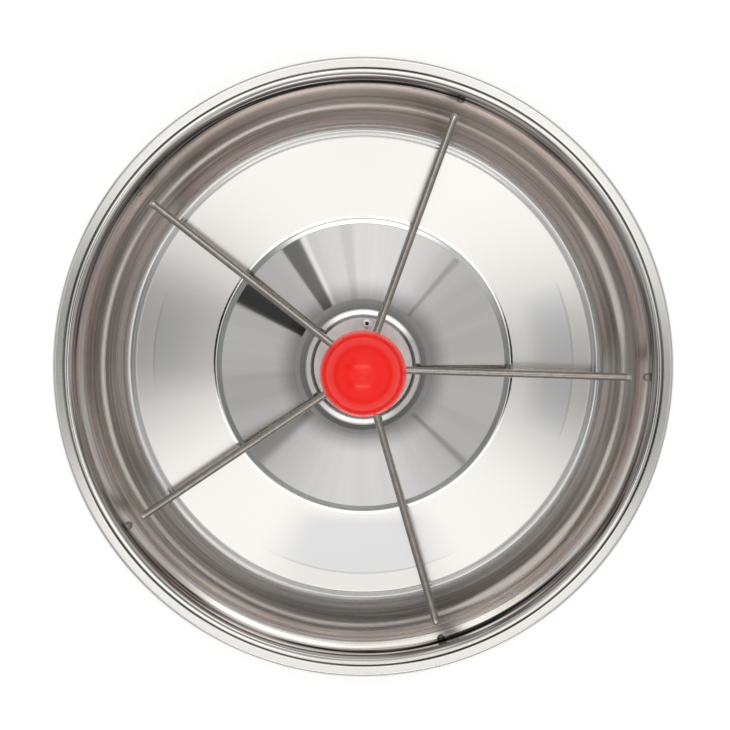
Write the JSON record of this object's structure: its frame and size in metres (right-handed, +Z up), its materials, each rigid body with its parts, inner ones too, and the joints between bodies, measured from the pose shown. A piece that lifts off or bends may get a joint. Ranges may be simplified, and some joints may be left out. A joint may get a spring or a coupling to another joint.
{
  "type": "round pig feeder",
  "caption": "Round pressed-steel creep feeder pan for piglets, with a central cone, straight divider rods on a sprung stem, a red ball knob and a floor hook.",
  "frame": {"origin": "centre of the pan's underside, on the surface that it stands on", "axes": "+Z up along the stem; +X close to the first divider rod; the hook's bar lies along X at rest"},
  "size_m": [0.3, 0.3, 0.1096],
  "materials": {
    "pan_steel": "polished stainless sheet",
    "cone_steel": "polished stainless sheet with spinning marks",
    "plate_steel": "matte stainless sheet",
    "rivet_aluminium": "bare",
    "bush_nylon": "natural nylon",
    "nut_steel": "turned stainless",
    "stem_steel": "drawn stainless bar",
    "pin_steel": "plain steel",
    "spring_steel": "spring wire",
    "rod_steel": "drawn stainless rod",
    "ball_red": "moulded, satin gloss",
    "insert_brass": "turned",
    "hook_steel": "cut and welded stainless bar"
  },
  "bodies": {
    "pan": {"pan": "pan_steel", "centre_cone": "cone_steel", "cap_plate": "plate_steel", "cap_rivets": "rivet_aluminium", "guide_bush": "bush_nylon", "bush_nut": "nut_steel", "spring": "spring_steel"},
    "press_slide": {"spring_washer": "nut_steel"},
    "stem": {"stem": "stem_steel", "stop_pin": "pin_steel", "divider_hub": "rod_steel", "hub_pin": "pin_steel", "divider_rod_1": "rod_steel", "divider_rod_2": "rod_steel", "divider_rod_3": "rod_steel", "divider_rod_4": "rod_steel", "divider_rod_5": "rod_steel", "ball_nut": "nut_steel", "ball_insert": "insert_brass", "ball_knob": "ball_red"},
    "hook": {"hook_nut": "nut_steel", "hook_sleeve": "hook_steel", "hook_bar": "hook_steel"}
  },
  "joints": [
    {"name": "stem_press", "type": "slide", "parent": "pan", "child": "press_slide", "axis": [0, 0, -1], "range_m": [0, 0.006], "stiffness_N_per_m": 2100, "springref_m": -0.005, "deforming": ["spring"]},
    {"name": "stem_turn", "type": "hinge", "parent": "press_slide", "child": "stem", "pos_m": [0, 0, 0.043], "axis": [0, 0, 1], "continuous": true},
    {"name": "hook_depth", "type": "slide", "parent": "stem", "child": "hook", "axis": [0, 0, -1], "range_m": [0, 0.006]}
  ]
}
